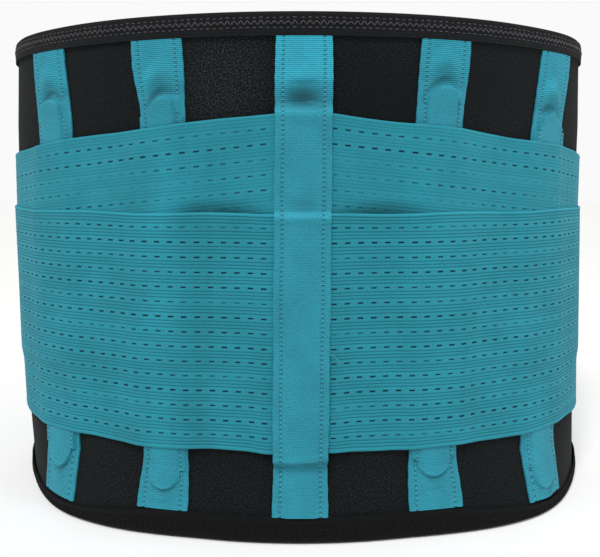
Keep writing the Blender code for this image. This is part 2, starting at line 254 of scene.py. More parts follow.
class Ring:
    """The waist ring that each flat piece is wrapped round."""

    def __init__(self, sizes):
        self.width = sizes.ring_half_width
        self.depth = sizes.ring_half_depth
        self.shift = sizes.ring_shift
        self.turn = np.linspace(0.0, 1.2 * math.pi, RING_STEPS)
        speed = np.hypot(self.width * np.cos(self.turn), self.depth * np.sin(self.turn))
        steps = (speed[1:] + speed[:-1]) / 2 * np.diff(self.turn)
        self.length = np.concatenate(([0.0], np.cumsum(steps)))
        self.wing_end = float(np.interp(math.pi, self.turn, self.length)) + OVERLAP

    def wrap(self, s, t, z, lifted):
        """Places on the ring, as rows of x, y and z."""
        away = np.abs(s)
        angle = np.copysign(np.interp(away, self.length, self.turn), s)
        flare = np.interp(z, FLARE_Z, FLARE)
        hip = np.clip(1 - ((away - HIP_S) / HIP_REACH) ** 2, 0.0, 1.0)
        flare = flare + HIP_SWELL * hip * hip * np.clip(1 - z / FLARE_Z[2], 0.0, 1.0)
        flare = flare + np.interp(z, FLARE_Z, SIDE) * smooth((away - SIDE_FROM) / SIDE_LENGTH)
        flare = flare * (1 - smooth((away - FLARE_FULL_TO) / (FLARE_GONE_AT - FLARE_FULL_TO)))
        out = t + flare
        if lifted:
            out = out + LIFT * smooth((away - LIFT_FROM) / LIFT_LENGTH)
        nx = self.depth * np.sin(angle)
        ny = -self.width * np.cos(angle)
        share = out / np.hypot(nx, ny)
        x = self.width * np.sin(angle) + nx * share
        y = -self.depth * np.cos(angle) + ny * share + self.shift
        # The standing cloth sways a little to one side and back, but not at the spine or the front
        slack = smooth((away - SLACK_FROM) / (60 * MM)) * (1 - smooth((away - SLACK_TO) / (40 * MM)))
        x = x + slack * np.interp(z, SWAY_Z, SWAY)
        return np.stack([x, y, z + 0 * x], -1)

    def point(self, s, t=4.8 * MM, z=0.117):
        place = self.wrap(np.array([s]), np.array([t]), np.array([z]), False)[0]
        return Vector(place)

    def lay(self, side, surface):
        """How a flat piece is placed so that its face lies at the surface's height."""

        def place(flat):
            s, depth, z = flat.T
            return self.wrap(s, surface(s, z) - depth, z, side < 0)

        return place

    def bend(self, piece, side, hinge):
        """Bakes the piece's placement into its mesh; it works out the hinge line's direction but does not
        bend the piece.
        """
        along = self.point(side * (hinge + MM)) - self.point(side * (hinge - MM))
        along.normalize()
        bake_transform(piece)

    def bend_at_wing(self, piece, side):
        self.bend(piece, side, WING_HINGE)


def steps_between(low, high, step):
    count = max(1, round((high - low) / step))
    return [low + (high - low) * i / count for i in range(count + 1)]


def cloth_grid(columns, rows):
    """A flat piece of cloth whose vertices stand on the given columns and rows."""
    bm = bmesh.new()
    across, up = len(columns) - 1, len(rows) - 1
    bmesh.ops.create_grid(bm, x_segments=across, y_segments=up, size=0.5)
    for v in bm.verts:
        column = columns[round((v.co.x + 0.5) * across)]
        v.co = (column, 0.0, rows[round((v.co.y + 0.5) * up)])
    return bm


def back_it(bm, thickness, stride, rows=()):
    """Turns the edges in and closes the back with coarser faces: every stride-th column, and cuts at rows."""
    rim = [e for e in bm.edges if e.is_boundary]
    made = bmesh.ops.extrude_edge_only(bm, edges=rim)["geom"]
    turned = [v for v in made if isinstance(v, bmesh.types.BMVert)]
    bmesh.ops.translate(bm, verts=turned, vec=(0, thickness, 0))
    loop = [e for e in made if isinstance(e, bmesh.types.BMEdge) and e.is_boundary]
    face = bmesh.ops.contextual_create(bm, geom=loop)["faces"][0]
    faces = [face]
    low = min(v.co.z for v in turned) + TINY
    high = max(v.co.z for v in turned) - TINY
    above = sorted((v for v in turned if v.co.z > high), key=lambda v: v.co.x)
    below = sorted((v for v in turned if v.co.z < low), key=lambda v: v.co.x)
    for a, b in list(zip(above, below))[stride:-1:stride]:
        face = next(f for f in a.link_faces if b in f.verts)
        faces.append(bmesh.utils.face_split(face, a, b)[0])
    for height in rows:
        edges = {e for f in faces for e in f.edges}
        verts = {v for f in faces for v in f.verts}
        geom = [*verts, *edges, *faces]
        cut = bmesh.ops.bisect_plane(bm, geom=geom, dist=TINY, plane_co=(0, 0, height), plane_no=(0, 0, 1))
        faces = [f for f in cut["geom"] if isinstance(f, bmesh.types.BMFace)]


def scatter(shape, spots):
    """Copies of one small shape, one at each spot."""
    corners = [v.co.copy() for v in shape.verts]
    one = bpy.data.meshes.new("shape")
    shape.to_mesh(one)
    shape.free()
    bm = bmesh.new()
    for _ in spots:
        bm.from_mesh(one)
    bpy.data.meshes.remove(one)
    for i, v in enumerate(bm.verts):
        v.co = spots[i // len(corners)] @ corners[i % len(corners)]
    return bm


def bead():
    """A small faceted bead, one unit in radius."""
    bm = bmesh.new()
    bmesh.ops.create_icosphere(bm, subdivisions=1, radius=1.0)
    return bm


def laid(place, size, turn=0.0):
    """A spot for a bead at a flat place, turned in the cloth's plane."""
    return Matrix.Translation(place) @ Matrix.Rotation(turn, 4, "Y") @ Matrix.Diagonal((*size, 1.0))


def close_outward(bm):
    bmesh.ops.recalc_face_normals(bm, faces=bm.faces[:])
    if bm.calc_volume(signed=True) < 0:
        bmesh.ops.reverse_faces(bm, faces=bm.faces[:])


def to_piece(name, bm, place, material, marks=None, sharp=50):
    """Makes a bmesh into a piece: place gives each flat point its place, marks its named attributes."""
    close_outward(bm)
    mesh = bpy.data.meshes.new(name)
    bm.to_mesh(mesh)
    bm.free()
    flat = np.empty(len(mesh.vertices) * 3)
    mesh.vertices.foreach_get("co", flat)
    flat = flat.reshape(-1, 3)
    corner = np.empty(len(mesh.loops), np.int32)
    mesh.loops.foreach_get("vertex_index", corner)
    layer = mesh.uv_layers.new(name="cloth")
    layer.data.foreach_set("uv", flat[corner][:, [0, 2]].astype(np.float32).ravel())
    if marks:
        for key, values in marks(flat).items():
            attribute = mesh.attributes.new(key, "FLOAT", "POINT")
            attribute.data.foreach_set("value", values.astype(np.float32))
    mesh.vertices.foreach_set("co", place(flat).astype(np.float32).ravel())
    mesh.update()
    mesh.shade_smooth()
    mesh.set_sharp_from_angle(angle=math.radians(sharp))
    mesh.materials.append(material)
    piece = bpy.data.objects.new(name, mesh)
    bpy.context.scene.collection.objects.link(piece)
    return piece


def declare(nodes):
    """Hides the imported frame's nodes that the sheet stands for."""
    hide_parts(*nodes)


# Surfaces that the layers share: each gives t for flat points


def over_channels(s):
    """1 over a boning channel or the strap's hook pad, 0 midway between."""
    away = np.abs(s)
    rise = 1 - smooth((away - 14 * MM) / (11 * MM))
    for centre in CHANNEL_S:
        rise = np.maximum(rise, 1 - smooth((np.abs(away - centre) - 9 * MM) / (15 * MM)))
    return np.maximum(rise, smooth((away - 274 * MM) / (14 * MM)))


def ridges(s):
    """1 along the middle of each side channel, where a stay's end lifts the upper strap's edge."""
    away = np.abs(s)
    return sum(1 - smooth((np.abs(away - centre) - 8 * MM) / (7 * MM)) for centre in CHANNEL_S)


def shell_t(s, z):
    return 0.25 * MM * wander(s, z, 3) - 0.25 * MM


def lining_t(s, z):
    return LINING_T + 0.1 * MM * wander(s, z, 11)


def tab_t(s, z):
    return TAB_T + 0.1 * MM * wander(s, z, 4)


def upper_edge(s):
    """Height of the upper strap's top edge."""
    return UPPER_TOP_Z - UPPER_SLOPE * np.abs(s)


def tucked(s, z):
    """1 where the upper strap dives behind the lower one's top edge, midway between two channels."""
    valley = hump((np.abs(s) - VALLEY_S) / (28 * MM))
    return valley * (1 - smooth((z - LOWER_TOP_Z) / (7 * MM)))


def upper_strap_t(s, z):
    """Outer face of the upper strap: it sinks between the channels."""
    lie = 1.4 * MM + 1.95 * MM * over_channels(s)
    near_edge = smooth((z - upper_edge(s) + 26 * MM) / (20 * MM))
    return lie + 0.95 * MM * near_edge * ridges(s) - 1.1 * MM * tucked(s, z) + 0.18 * MM * wander(s, z, 5)


def lower_strap_t(s, z):
    """Outer face of the lower strap: it steps down below the upper strap's hidden lower edge."""
    over_upper = smooth((z - upper_edge(s) + STRAP_WIDTH + 5 * MM) / (9 * MM))
    rise = over_channels(s)
    lie = 1.5 * MM + 1.9 * MM * rise + 0.9 * MM * over_upper
    lip = hump((z - LOWER_TOP_Z) / (9 * MM)) * hump((np.abs(s) - VALLEY_S) / (34 * MM))
    return lie + 1.5 * MM * lip + 0.20 * MM * wander(s, z, 8)


# Materials


def add_node(tree, kind, settings=None, inputs=None):
    """Adds a node, sets its settings, and fills or links its inputs."""
    node = tree.nodes.new(kind)
    for key, value in (settings or {}).items():
        setattr(node, key, value)
    for key, value in (inputs or {}).items():
        if isinstance(value, bpy.types.NodeSocket):
            tree.links.new(value, node.inputs[key])
        else:
            node.inputs[key].default_value = value
    return node


def start_material(name):
    """The node tree of a new, empty material."""
    material = bpy.data.materials.new(name)
    material.use_nodes = True
    material.node_tree.nodes.clear()
    return material.node_tree


def finish_material(tree, look):
    """Gives the material a principled surface with the given inputs."""
    shader = add_node(tree, "ShaderNodeBsdfPrincipled", None, look)
    add_node(tree, "ShaderNodeOutputMaterial", None, {"Surface": shader.outputs["BSDF"]})


def rgba(colour):
    return (*colour, 1.0)


# Woven polyester elastic: matt, with yarn ends every 0.9 mm along a rib
WEBBING = {
    "stretch": (1.0, 2.4, 1.0),
    "yarns": 900.0,
    "yarn_roughness": 0.6,
    "yarn_share": 0.75,
    "patches": 45.0,
    "worn": 0.06,
    "raised": (0.15, 1.25),
    "open": (0.08, 0.36),
    "bump": 0.55,
    "bump_depth": 0.25 * MM,
    "roughness": 0.82,
    "sheen": 0.04,
    "sheen_roughness": 0.5,
}
# Grosgrain of filament yarn: slightly silky, with warp yarns every 0.5 mm that break each rib into beads
GROSGRAIN = {
    "stretch": (2.0, 1.0, 1.0),
    "yarns": 950.0,
    "yarn_roughness": 0.55,
    "yarn_share": 0.8,
    "patches": 70.0,
    "worn": 0.07,
    "raised": (0.3, 1.2),
    "open": (0.0, 1.0),
    "bump": 0.5,
    "bump_depth": 0.2 * MM,
    "roughness": 0.6,
    "sheen": 0.03,
    "sheen_roughness": 0.4,
}


def ribbed_material(name, groove_shade, yarn, slot, weave):
    """Ribbed cloth: painted shade between its ribs, dark in its slots, uneven from yarn to yarn, and
    brightened and darkened by the painted light and shade of its tone attribute.
    """
    tree = start_material(name)
    uv = add_node(tree, "ShaderNodeUVMap", {"uv_map": "cloth"}).outputs["UV"]
    rib, hole, tone = (
        add_node(tree, "ShaderNodeAttribute", {"attribute_name": key}).outputs["Fac"]
        for key in ("rib", "slot", "tone")
    )
    scaled = add_node(tree, "ShaderNodeMapping", None, {"Vector": uv, "Scale": weave["stretch"]})
    grain = {"Scale": weave["yarns"], "Detail": 2.0, "Roughness": weave["yarn_roughness"]}
    grain["Vector"] = scaled.outputs["Vector"]
    yarns = add_node(tree, "ShaderNodeTexNoise", FLAT_NOISE, grain).outputs["Fac"]
    patches = {"Vector": uv, "Scale": weave["patches"], "Detail": 2.0}
    patch = add_node(tree, "ShaderNodeTexNoise", FLAT_NOISE, patches).outputs["Fac"]
    lift = {0: yarns, 1: weave["yarn_share"], 2: rib}
    lifted = add_node(tree, "ShaderNodeMath", {"operation": "MULTIPLY_ADD"}, lift).outputs[0]
    low, high = weave["raised"]
    raised = add_node(tree, "ShaderNodeMapRange", None, {"Value": lifted, "From Min": low, "From Max": high})
    # Painted shade between the ribs: the groove colour shows where the yarn lies low
    ends = {"Factor": raised.outputs["Result"], 6: rgba(groove_shade), 7: rgba(yarn)}
    shade = add_node(tree, "ShaderNodeMix", RGBA, ends).outputs[2]
    wear = {"Value": patch, "From Min": 0.3, "From Max": 0.7}
    wear.update({"To Min": 1 - weave["worn"], "To Max": 1 + weave["worn"]})
    worn = add_node(tree, "ShaderNodeMapRange", None, wear).outputs["Result"]
    # The tone attribute brightens and darkens the yarn with painted light and shade
    for value in (worn, tone):
        dimmed = add_node(tree, "ShaderNodeHueSaturation", None, {"Color": shade, "Value": value})
        shade = dimmed.outputs["Color"]
    low, high = weave["open"]
    deep = add_node(tree, "ShaderNodeMapRange", None, {"Value": hole, "From Min": low, "From Max": high})
    ends = {"Factor": deep.outputs["Result"], 6: shade, 7: rgba(slot)}
    with_slots = add_node(tree, "ShaderNodeMix", RGBA, ends)
    relief = {"Height": yarns, "Strength": weave["bump"], "Distance": weave["bump_depth"]}
    look = {
        "Base Color": with_slots.outputs[2],
        "Roughness": weave["roughness"],
        "Specular IOR Level": 0.16,
        "Sheen Weight": weave["sheen"],
        "Sheen Roughness": weave["sheen_roughness"],
        "Normal": add_node(tree, "ShaderNodeBump", None, relief).outputs["Normal"],
    }
    finish_material(tree, look)


def napped_material(name, base, tip, loop_mm, bump_mm, sheen):
    """Dark cloth with a nap: tiny loops catch the light as paler specks on a near-black ground."""
    tree = start_material(name)
    uv = add_node(tree, "ShaderNodeUVMap", {"uv_map": "cloth"}).outputs["UV"]
    nap_and_painted_light = add_node(tree, "ShaderNodeAttribute", {"attribute_name": "nap_and_painted_light"}).outputs["Fac"]
    grain = {"Vector": uv, "Scale": 1000.0 / loop_mm, "Detail": 3.0, "Roughness": 0.65}
    loops = add_node(tree, "ShaderNodeTexNoise", FLAT_NOISE, grain).outputs["Fac"]
    lit = add_node(tree, "ShaderNodeMapRange", None, {"Value": loops, "From Min": 0.48, "From Max": 0.82})
    # The attribute sets how much the pale specks show, and carries painted light and painted shade
    amount = add_node(tree, "ShaderNodeMapRange", None, {"Value": nap_and_painted_light, "To Min": 0.22, "To Max": 1.0})
    both = {0: lit.outputs["Result"], 1: amount.outputs["Result"]}
    factor = add_node(tree, "ShaderNodeMath", {"operation": "MULTIPLY"}, both).outputs[0]
    relief = {"Height": loops, "Strength": 0.8, "Distance": bump_mm * MM}
    ends = {"Factor": factor, 6: rgba(base), 7: rgba(tip)}
    look = {
        "Base Color": add_node(tree, "ShaderNodeMix", RGBA, ends).outputs[2],
        "Roughness": 0.9,
        "Specular IOR Level": 0.05,
        "Sheen Weight": sheen,
        "Sheen Roughness": 0.45,
        "Normal": add_node(tree, "ShaderNodeBump", None, relief).outputs["Normal"],
    }
    finish_material(tree, look)


def thread_material(name, colour, gloss):
    """Twisted thread: fine slanting plies with a soft gloss."""
    tree = start_material(name)
    place = add_node(tree, "ShaderNodeTexCoord").outputs["Object"]
    bands = {"wave_type": "BANDS", "bands_direction": "DIAGONAL"}
    plies = {"Vector": place, "Scale": 900.0, "Distortion": 1.0}
    ply = add_node(tree, "ShaderNodeTexWave", bands, plies).outputs["Fac"]
    ends = {"Factor": ply, 6: rgba([c * 0.75 for c in colour]), 7: rgba(colour)}
    relief = {"Height": ply, "Strength": 0.4, "Distance": 0.1 * MM}
    look = {
        "Base Color": add_node(tree, "ShaderNodeMix", RGBA, ends).outputs[2],
        "Roughness": 0.5,
        "Specular IOR Level": gloss,
        "Normal": add_node(tree, "ShaderNodeBump", None, relief).outputs["Normal"],
    }
    finish_material(tree, look)


def steel_material(name, colour):
    """Rolled steel: satin, with fine scratches along the strip."""
    tree = start_material(name)
    place = add_node(tree, "ShaderNodeTexCoord").outputs["Object"]
    along = add_node(tree, "ShaderNodeMapping", None, {"Vector": place, "Scale": (1.0, 1.0, 0.04)})
    grain = {"Vector": along.outputs["Vector"], "Scale": 1500.0, "Detail": 3.0}
    scratch = add_node(tree, "ShaderNodeTexNoise", None, grain).outputs["Fac"]
    rough = add_node(tree, "ShaderNodeMapRange", None, {"Value": scratch, "To Min": 0.25, "To Max": 0.45})
    look = {"Base Color": rgba(colour), "Metallic": 1.0, "Roughness": rough.outputs["Result"]}
    finish_material(tree, look)


def mottled_material(name, dark, pale, scale, roughness):
    """A smooth coat that is very slightly uneven in colour."""
    tree = start_material(name)
    place = add_node(tree, "ShaderNodeTexCoord").outputs["Object"]
    mottle = add_node(tree, "ShaderNodeTexNoise", None, {"Vector": place, "Scale": scale, "Detail": 2.0})
    ends = {"Factor": mottle.outputs["Fac"], 6: rgba(dark), 7: rgba(pale)}
    tone = add_node(tree, "ShaderNodeMix", RGBA, ends)
    finish_material(tree, {"Base Color": tone.outputs[2], "Roughness": roughness})


def finishes(colours):
    """Each material's maker and its settings, under the name of its finish."""
    loops = colours.shell_loop
    ribs = (colours.elastic_groove_shade, colours.elastic, colours.slot, WEBBING)
    tape_ribs = (colours.tape_groove_shade, colours.tape, colours.slot, GROSGRAIN)
    return {
        # Neoprene faced with loop cloth: black, with a fine grey speckle where the nap stands
        "loop_faced_neoprene": (napped_material, colours.shell, loops, 0.75, 0.4, 0.03),
        # Brushed polyester knit: softer and a little paler
        "brushed_knit": (napped_material, colours.lining, loops, 0.8, 0.5, 0.10),
        # Folded elastic binding: a flat black
        "folded_elastic_binding": (napped_material, colours.binding, loops, 0.7, 0.2, 0.03),
        # Moulded nylon hook tape: black, with coarse bright specks
        "moulded_hook_tape": (napped_material, colours.hook, loops, 1.2, 0.5, 0.0),
        # Polyester twill: black with a dull lustre
        "tab_twill": (napped_material, colours.binding, colours.black_thread, 0.9, 0.2, 0.1),
        # Woven polyester elastic: matt teal ribs between rows of navy slots
        "woven_elastic_webbing": (ribbed_material, *ribs),
        # Polyester grosgrain: teal cross ribs with a slight silkiness
        "ribbed_grosgrain": (ribbed_material, *tape_ribs),
        # Polyester sewing thread: paler than the cloth it is sewn through, with a darker copy as painted
        # shade low down
        "teal_polyester_thread": (thread_material, colours.thread, 0.4),
        "black_polyester_thread": (thread_material, colours.black_thread, 0.4),
        "shaded_black_thread": (thread_material, colours.shaded_thread, 0.1),
        # Spring steel: a satin grey metal
        "rolled_spring_steel": (steel_material, linear("#c2c4c6")),
        # Dip-moulded vinyl on the stays' ends: smooth off-white
        "dipped_vinyl": (mottled_material, linear("#dcdcd8"), linear("#ebebe8"), 220.0, 0.38),
        # Painted floor: pale and matt
        "painted_floor": (mottled_material, [c * 0.985 for c in colours.floor], colours.floor, 3.0, 0.9),
    }


def use_material(name):
    """The material of that name, made on first use."""
    if name not in bpy.data.materials:
        make, *settings = finishes(bpy.context.scene.belt_colours)[name]
        make(name, *settings)
    return bpy.data.materials[name]


# Shell and lining


def nap_with_painted_light(flat):
    """Where the nap's pale specks show: a painted pool of light beside the spine above the straps, and a
    little all over, unevenly.
    """
    s, _, z = flat.T
    brushed = hump((s + 34 * MM) / (30 * MM)) * hump((z - 204 * MM) / (30 * MM))
    return {"nap_and_painted_light": np.clip(brushed + 0.18 * (1 + wander(s, z, 13)), 0, 1)}


class BELT_OT_shell(Operator):
    """Cuts the neoprene shell and its brushed lining, one piece to each side of the spine"""

    bl_idname = "belt.shell"
    bl_label = "Shell and Lining"

    def execute(self, context):
        ring = Ring(context.scene.belt_sizes)
        low, high = FLOOR_Z + EDGE_INSET, TOP_Z - EDGE_INSET
        end = ring.wing_end - EDGE_INSET
        rows = steps_between(low, high, SHELL_STEP)
        for side, word in SIDES:
            columns = steps_between(*sorted((0.0, side * end)), SHELL_STEP)
            for layer, surface, thick, material, slot in (
                ("shell", shell_t, SHELL_THICK, "loop_faced_neoprene", "shell_neoprene"),
                ("lining", lining_t, LINING_THICK, "brushed_knit", "brushed_lining"),
            ):
                bm = cloth_grid(columns, rows)
                back_it(bm, thick, 2, rows[10:-5:10])
                name = layer + "_" + word
                piece = to_piece(name, bm, ring.lay(side, surface), use_material(material), nap_with_painted_light)
                nodes = ("back_" + layer, word + "_wing_" + layer)
                declare(nodes)
                ring.bend_at_wing(piece, side)
        return {"FINISHED"}


# Binding


def fold_path(share, depth):
    """Across and along a folded tape: legs joined by a round crown, share running from 0 to 1."""
    run = share * BINDING_WIDTH
    angle = np.clip((run - LEG) / FOLD_ARC, 0.0, 1.0) * math.pi
    across = (BINDING_HALF - depth) * np.cos(angle)
    along = (CROWN - depth) * np.sin(angle)
    along = along - np.clip(LEG - run, 0.0, None) - np.clip(run - LEG - FOLD_ARC, 0.0, None)
    return across, along


def binding_relief(run, share):
    """Cords along the binding, the grooves its seams pull in, and the puckers between them."""
    near_edge = np.minimum(share, 1 - share)
    cords = 0.10 * MM * np.cos(share * 2 * math.pi * 17)
    pull = 0.0
    for seam in SEAM_SHARES:
        pull = pull - 0.30 * MM * hump((near_edge - seam) / 0.020)
    between = hump((near_edge - sum(SEAM_SHARES) / 2) / 0.085)
    pucker = 0.22 * MM * between * np.cos(run * 2 * math.pi / COVER_STITCH)
    return cords + pull + pucker


class BELT_OT_binding(Operator):
    """Folds binding tape over the belt's edges and covers it with two rows of zigzag stitches"""

    bl_idname = "belt.binding"
    bl_label = "Binding"

    def execute(self, context):
        ring = Ring(context.scene.belt_sizes)
        for side, word in SIDES:
            # The bottom binding shows none of the nap's pale specks and takes the thread's darker copy:
            # painted shade, against the lit top binding
            for edge, up, edge_z, nap_and_painted_light, thread in (
                ("top", 1, TOP_Z, 0.7, "black_polyester_thread"),
                ("bottom", -1, FLOOR_Z, 0.0, "shaded_black_thread"),
            ):

                def rim(s, share, depth, up=up, edge_z=edge_z, side=side):
                    across, along = fold_path(share, depth)
                    narrow = (up < 0) * NARROWED * hump((np.abs(s) - NARROW_S) / NARROW_REACH)
                    z = edge_z + up * (along - CROWN) * (1 - narrow)
                    return ring.wrap(s, BINDING_MIDDLE + across, z, side < 0)

                columns = steps_between(*sorted((0.0, side * ring.wing_end)), COVER_STITCH / 2)
                name = edge + "_binding_{}_" + word
                nodes = (edge + "_binding_back", edge + "_binding_" + word)
                for piece in self.sewn(name, columns, rim, nap_and_painted_light, thread, nodes, word):
                    ring.bend_at_wing(piece, side)

            def end(z, share, depth, side=side):
                across, along = fold_path(share, depth)
                s = side * (ring.wing_end + along - CROWN)
                return ring.wrap(s, BINDING_MIDDLE + across, z, side < 0)

            columns = steps_between(*TAPE_Z, COVER_STITCH / 2)
            nodes = ("edge_binding_" + word,)
            name = "edge_binding_{}_" + word
            # The end bindings are sewn with the thread's darker, painted-shade copy
            for piece in self.sewn(name, columns, end, 0.3, "shaded_black_thread", nodes, word):
                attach(piece, word + "_wing")
        return {"FINISHED"}

    def sewn(self, name, columns, place_on, nap_and_painted_light, thread, nodes, word):
        """A folded binding and its cover stitches."""
        bm = cloth_grid(columns, [i / 72 for i in range(73)])
        back_it(bm, 0.7 * MM, 4, [i / 14 for i in range(1, 14)])

        def place(flat):
            run, depth, share = flat.T
            edge = hump(np.minimum(share, 1 - share) / 0.02)
            relief = np.where(depth > 0, 0.0, binding_relief(run, share) * (1 - edge))
            return place_on(run, share, depth - relief)

        cloth = use_material("folded_elastic_binding")
        marks = lambda flat: {"nap_and_painted_light": nap_and_painted_light + 0 * flat[:, 0]}
        piece = to_piece(name.format("cloth"), bm, place, cloth, marks, sharp=70)
        declare(nodes)
        seam = self.cover_stitches(name.format("stitches"), columns, place_on, use_material(thread))
        return piece, seam

    def cover_stitches(self, name, columns, place_on, material):
        """Cover stitching on each face: two needle lines with a zigzag laid between them."""
        spots = []
        for i in range(int((columns[-1] - columns[0]) / COVER_STITCH)):
            run = columns[0] + (i + 0.5) * COVER_STITCH
            uneven = math.sin(i * 2.4) + 0.7 * math.sin(i * 0.73) + 0.4 * math.sin(i * 5.1)
            for flip in (0, 1):
                for seam in SEAM_SHARES:
                    share = (1 - seam if flip else seam) + 0.003 * uneven
                    size = ((1.1 + 0.15 * uneven) * MM, 0.30 * MM, 0.32 * MM)
                    spots.append(laid((run, 0, share * BINDING_WIDTH), size, 0.06 * uneven))
                share = sum(SEAM_SHARES) / 2
                share = 1 - share if flip else share
                for slant in (-1, 1):
                    place = (run + slant * COVER_STITCH / 4, 0, share * BINDING_WIDTH)
                    size = ((1.6 + 0.2 * uneven) * MM, (0.30 - 0.04 * uneven) * MM, 0.32 * MM)
                    spots.append(laid(place, size, slant * (0.85 + 0.10 * uneven)))
        bm = scatter(bead(), spots)

        def place(flat):
            run, depth, height = flat.T
            share = height / BINDING_WIDTH
            return place_on(run, share, depth - 0.10 * MM - binding_relief(run, share) * 0.6)

        return to_piece(name, bm, place, material, sharp=180)


# Boning channels


def tape_rib(height, pitch, stay_top):
    """The tape's cross ribs: flattened where it is stretched over a stay, full above the stay's end."""
    fullness = 0.40 + 0.60 * smooth((height - stay_top + 2 * MM) / (6 * MM))
    return 0.5 + 0.5 * fullness * np.cos(height * 2 * math.pi / pitch)


# Half of the tape's columns of vertices, in millimetres, closest at the seam and at the edge
TAPE_COLUMNS = (0, 1, 2, 3, 4, 5, 5.8, 6.5, 7.2, 7.8, 8.3, 8.8, 9.3, 9.9, 10.7, 11.4, 11.9, 12.2)
SEAM_U = 8.8 * MM

# Soft marks on the tapes. Each has a strength, the middle and reach of its height, how far it climbs
# across the tape, and the middle and reach of its place across, the middles and reaches in millimetres.
# Heights are above a side stay's top or foot, or above the floor on the centre tape; tones are painted light
# and shade, as shares of the yarn's brightness, and folds are in millimetres
WHOLE = 1000
# Painted light at a side stay's top: painted shade in the creases above its end, a painted highlight on its
# edge, and brighter yarn above
TOP_PAINTED_LIGHT = (
    (-0.40, 2.8, 3.4, 0, -2.2, 9.5),
    (0.28, -0.5, 1.5, 0, 2.5, 7.5),
    (0.16, 14.0, 6.0, 0, -3.5, 6.5),
    (-0.14, 7.5, 4.5, 0, -1.0, 8.0),
)
# Painted light at a side stay's foot: a painted highlight on its end and painted shade in the crease below it
FOOT_PAINTED_LIGHT = ((0.12, 1.0, 1.6, 0, 0, 8.0), (-0.24, -1.6, 2.2, 0, 0, 9.0))
BILLOW = ((1.5, 11.0, 8.0, -0.35, 0, 9.5),)
TOP_FOLDS = ((-0.75, 2.6, 3.0, 0, 0, 10.5),)
FOOT_FOLDS = ((0.80, -3.6, 2.6, 0.15, 0, 8.5), (-0.35, -1.0, 1.6, 0, 0, 9.0))
# Painted light on the centre tape: painted shade in the hollow above its stay, painted highlights on the
# steps over the straps' edges, and painted shade above the lower strap's edge and along its bottom edge
SPINE_PAINTED_LIGHT = (
    (-0.68, 197.0, 7.8, 0, -0.5, 11.5),
    (0.24, 189.5, 3.0, 0, 0, WHOLE),
    (0.26, 144.6, 2.4, 0, 0, WHOLE),
    (-0.18, 149.5, 4.5, 0, 0, 9.5),
    (-0.15, 33.5, 2.2, 0.12, 0, WHOLE),
)
SPINE_FOLDS = (
    (0.50, 187.0, 3.5, -0.06, 0, 12.0),
    (0.50, 36.5, 2.6, 0.12, 0, WHOLE),
    (0.45, 142.5, 3.0, 0, 0, WHOLE),
    (0.35, 105.0, 3.0, 0.7, 1.0, 8.0),
)
# The centre tape's height above the shell: it climbs over the lower strap's edges and the upper strap's
SPINE_Z = [v * MM for v in (11, 32.5, 35.5, 143.5, 146.0, 189.0, 192.8, 204, 223)]
SPINE_T = [v * MM for v in (1.7, 1.9, 5.2, 5.4, 4.3, 4.7, 3.5, 3.3, 1.0)]


def marked(up, across, marks):
    """The sum of a table's marks at each place."""
    total = 0.0
    for strength, z, z_reach, climb, u, u_reach in marks:
        high = hump((up - z * MM - climb * across) / (z_reach * MM))
        total = total + strength * high * hump((across - u * MM) / (u_reach * MM))
    return total


